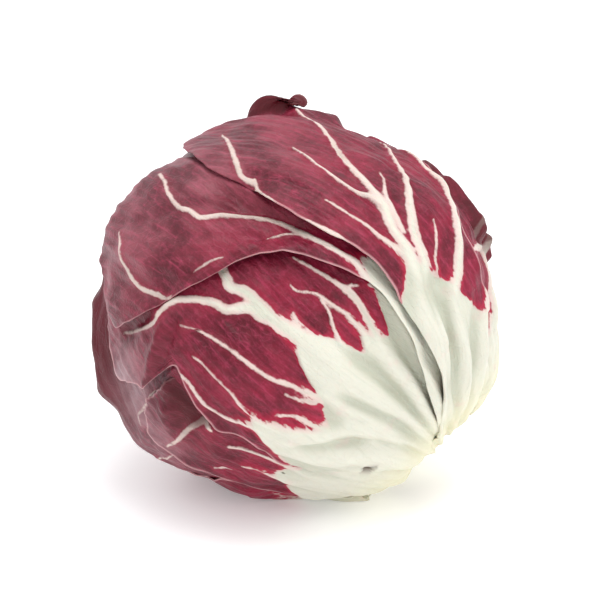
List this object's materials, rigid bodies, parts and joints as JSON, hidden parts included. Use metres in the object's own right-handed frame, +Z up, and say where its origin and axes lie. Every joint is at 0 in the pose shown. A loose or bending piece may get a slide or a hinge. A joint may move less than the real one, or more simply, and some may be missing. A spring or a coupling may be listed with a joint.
{
  "type": "radicchio head",
  "caption": "Round head of red radicchio lying on its side: broad crimson leaves with white ribs, wrapped round a tight heart and springing from one cut core.",
  "frame": {"origin": "on the surface the head lies on, under the middle of its bounding box", "axes": "+Z up; -Y towards the side where most leaf faces show; the cut butt points to +X, a little towards -Y and down"},
  "size_m": [0.1174, 0.1208, 0.1147],
  "materials": {
    "core": "moist cut vegetable stem, pale cream",
    "heart": "tightly folded young leaf, deep crimson",
    "inner_leaf": "waxy leaf, crimson with white ribs",
    "outer_leaf": "waxy leaf, crimson with broad ivory ribs and a white base"
  },
  "bodies": {
    "root": {"core": "core", "heart": "heart", "inner_leaf_1": "inner_leaf", "inner_leaf_2": "inner_leaf", "inner_leaf_3": "inner_leaf", "inner_leaf_4": "inner_leaf", "inner_leaf_5": "inner_leaf", "inner_leaf_6": "inner_leaf", "back_leaf": "outer_leaf", "left_leaf": "outer_leaf", "crown_curl_leaf": "outer_leaf", "low_front_leaf": "outer_leaf", "right_leaf": "outer_leaf", "face_leaf": "outer_leaf", "shoulder_leaf": "outer_leaf", "rear_leaf": "outer_leaf", "crown_leaf": "outer_leaf", "ground_leaf": "outer_leaf"}
  },
  "joints": []
}
